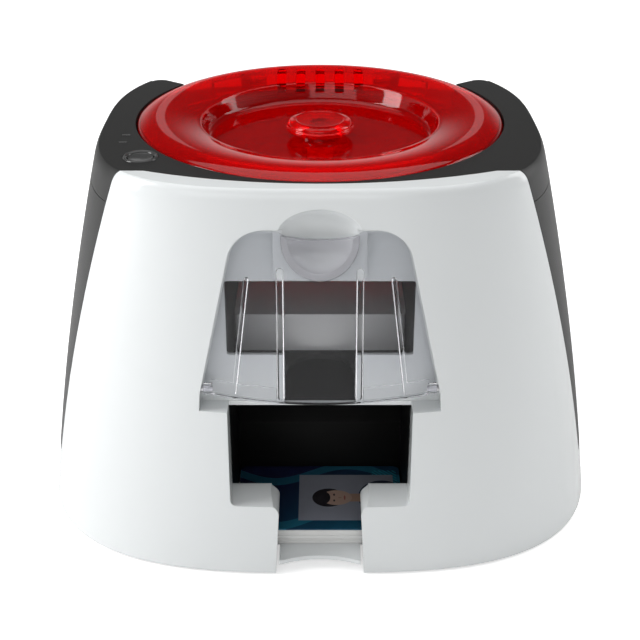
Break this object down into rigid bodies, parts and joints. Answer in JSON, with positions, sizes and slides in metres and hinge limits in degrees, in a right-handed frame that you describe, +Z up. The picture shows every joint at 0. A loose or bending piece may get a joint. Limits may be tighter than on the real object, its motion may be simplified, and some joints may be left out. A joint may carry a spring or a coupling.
{
  "type": "id card printer",
  "caption": "Desktop id card printer with a tapered housing, round hinged lid, front card feeder behind a curved drop-down door and an output bay with a tray of cards.",
  "frame": {"origin": "centre of the printer's base on the table, at the middle of its overall box", "axes": "+X to the right seen from the front, +Y to the rear, +Z up"},
  "size_m": [0.2976, 0.2476, 0.2006],
  "materials": {
    "white_gloss": "glossy moulded white",
    "dark_plastic": "fine textured dark grey",
    "black_plastic": "matt black",
    "steel_sheet": "folded zinc-plated sheet",
    "steel": "turned and ground",
    "bronze": "sintered bronze and brass",
    "roller_rubber": "ground rubber",
    "gear_plastic": "moulded natural acetal",
    "ribbon_film": "thin coated film",
    "motor_metal": "plated motor can",
    "head_metal": "machined heat sink",
    "board_green": "solder-masked board",
    "red_clear": "transparent red, polished",
    "smoke_clear": "transparent smoke grey, polished",
    "card_white": "smooth white card",
    "card_print": "printed blue design under a clear coat",
    "lens_grey": "frosted lens"
  },
  "bodies": {
    "housing": {"base_tray": "white_gloss", "front_shell": "white_gloss", "rear_housing": "dark_plastic", "top_collar": "dark_plastic", "inner_deck": "black_plastic", "output_liner": "black_plastic", "feeder_tray": "black_plastic", "card_guide": "steel_sheet", "blank_cards": "card_white", "printed_cards": "card_white", "printed_card_top": "card_print", "chassis_left": "steel_sheet", "chassis_right": "steel_sheet", "tie_rods": "steel", "bearing_bushes": "bronze", "carriage_pin": "steel", "idler_studs": "steel", "drive_motor": "motor_metal", "ribbon_web": "ribbon_film", "ribbon_motor": "motor_metal", "control_board": "board_green", "data_socket": "steel", "power_socket": "black_plastic", "lid_pins": "steel", "door_pins": "steel", "button_ring": "dark_plastic", "button_board": "board_green", "indicator_lenses": "lens_grey", "rubber_feet": "roller_rubber", "case_screws": "steel"},
    "lid": {"lid": "red_clear", "knob_spring": "steel"},
    "knob": {"release_knob": "red_clear"},
    "latch": {"latch_slider": "gear_plastic"},
    "door": {"feeder_door": "smoke_clear"},
    "button": {"power_button": "dark_plastic"},
    "platen": {"platen_shaft": "steel", "platen_sleeve": "roller_rubber", "platen_gear": "gear_plastic"},
    "feed_roller": {"feed_shaft": "steel", "feed_tyres": "roller_rubber", "feed_gear": "gear_plastic"},
    "pick_roller": {"pick_shaft": "steel", "pick_tyre": "roller_rubber", "pick_gear": "gear_plastic"},
    "front_idler": {"idler_front": "gear_plastic"},
    "rear_idler": {"idler_rear": "gear_plastic"},
    "reduction": {"reduction_gear": "gear_plastic"},
    "motor_shaft": {"motor_pinion": "bronze"},
    "pinch": {"pinch_roller": "steel"},
    "takeup": {"takeup_core": "gear_plastic", "takeup_film": "ribbon_film"},
    "ribbon_motor_shaft": {"ribbon_pinion": "bronze"},
    "supply": {"supply_core": "gear_plastic", "supply_film": "ribbon_film"},
    "head": {"head_carriage": "steel_sheet", "guide_bars": "steel", "print_head": "head_metal"},
    "flap": {"diverter_flap": "black_plastic"}
  },
  "joints": [
    {"name": "lid_hinge", "type": "hinge", "parent": "housing", "child": "lid", "pos_m": [0, 0.09703, 0.1893], "axis": [-1, 0, 0], "range_deg": [0, 100]},
    {"name": "knob_slide", "type": "slide", "parent": "lid", "child": "knob", "axis": [0, 0, -1], "range_m": [0, 0.003], "stiffness_N_per_m": 400, "springref_m": -0.001, "deforming": ["knob_spring"]},
    {"name": "latch_slide", "type": "slide", "parent": "lid", "child": "latch", "axis": [0, 1, 0], "range_m": [0, 0.003]},
    {"name": "door_hinge", "type": "hinge", "parent": "housing", "child": "door", "pos_m": [0, -0.1095, 0.101], "axis": [1, 0, 0], "range_deg": [0, 85]},
    {"name": "button_press", "type": "slide", "parent": "housing", "child": "button", "axis": [0, 0, -1], "range_m": [0, 0.001], "stiffness_N_per_m": 300, "springref_m": -0.0008},
    {"name": "platen_turn", "type": "hinge", "parent": "housing", "child": "platen", "pos_m": [0, 0.008, 0.08745], "axis": [1, 0, 0], "continuous": true},
    {"name": "feed_turn", "type": "hinge", "parent": "housing", "child": "feed_roller", "pos_m": [0, 0.04, 0.08745], "axis": [1, 0, 0], "continuous": true},
    {"name": "pick_turn", "type": "hinge", "parent": "housing", "child": "pick_roller", "pos_m": [0, -0.024, 0.08745], "axis": [1, 0, 0], "continuous": true},
    {"name": "front_idler_turn", "type": "hinge", "parent": "housing", "child": "front_idler", "pos_m": [0, -0.008, 0.08745], "axis": [1, 0, 0], "continuous": true},
    {"name": "rear_idler_turn", "type": "hinge", "parent": "housing", "child": "rear_idler", "pos_m": [0, 0.024, 0.08745], "axis": [1, 0, 0], "continuous": true},
    {"name": "reduction_turn", "type": "hinge", "parent": "housing", "child": "reduction", "pos_m": [0, 0.0472, 0.07498], "axis": [1, 0, 0], "continuous": true},
    {"name": "motor_turn", "type": "hinge", "parent": "housing", "child": "motor_shaft", "pos_m": [0, 0.05541, 0.05243], "axis": [1, 0, 0], "continuous": true},
    {"name": "pinch_turn", "type": "hinge", "parent": "housing", "child": "pinch", "pos_m": [0, 0.04, 0.10171], "axis": [1, 0, 0], "continuous": true},
    {"name": "takeup_turn", "type": "hinge", "parent": "housing", "child": "takeup", "pos_m": [0, -0.014, 0.165], "axis": [1, 0, 0], "continuous": true},
    {"name": "ribbon_motor_turn", "type": "hinge", "parent": "housing", "child": "ribbon_motor_shaft", "pos_m": [0, -0.014, 0.1458], "axis": [1, 0, 0], "continuous": true},
    {"name": "supply_turn", "type": "hinge", "parent": "housing", "child": "supply", "pos_m": [0, 0.046, 0.136], "axis": [1, 0, 0], "continuous": true},
    {"name": "head_swing", "type": "hinge", "parent": "housing", "child": "head", "pos_m": [0, 0.074, 0.11], "axis": [-1, 0, 0], "range_deg": [0, 22]},
    {"name": "flap_swing", "type": "hinge", "parent": "housing", "child": "flap", "pos_m": [0, -0.005, 0.0914], "axis": [1, 0, 0], "range_deg": [0, 15]}
  ],
  "couplings": [
    {"joint": "feed_turn", "follows": "platen_turn", "ratio": 1},
    {"joint": "pick_turn", "follows": "platen_turn", "ratio": 1},
    {"joint": "front_idler_turn", "follows": "platen_turn", "ratio": -1},
    {"joint": "rear_idler_turn", "follows": "platen_turn", "ratio": -1},
    {"joint": "reduction_turn", "follows": "platen_turn", "ratio": -1.25},
    {"joint": "motor_turn", "follows": "platen_turn", "ratio": 5},
    {"joint": "pinch_turn", "follows": "platen_turn", "ratio": -1.6},
    {"joint": "ribbon_motor_turn", "follows": "takeup_turn", "ratio": -3},
    {"joint": "latch_slide", "follows": "knob_slide", "ratio": 1}
  ]
}
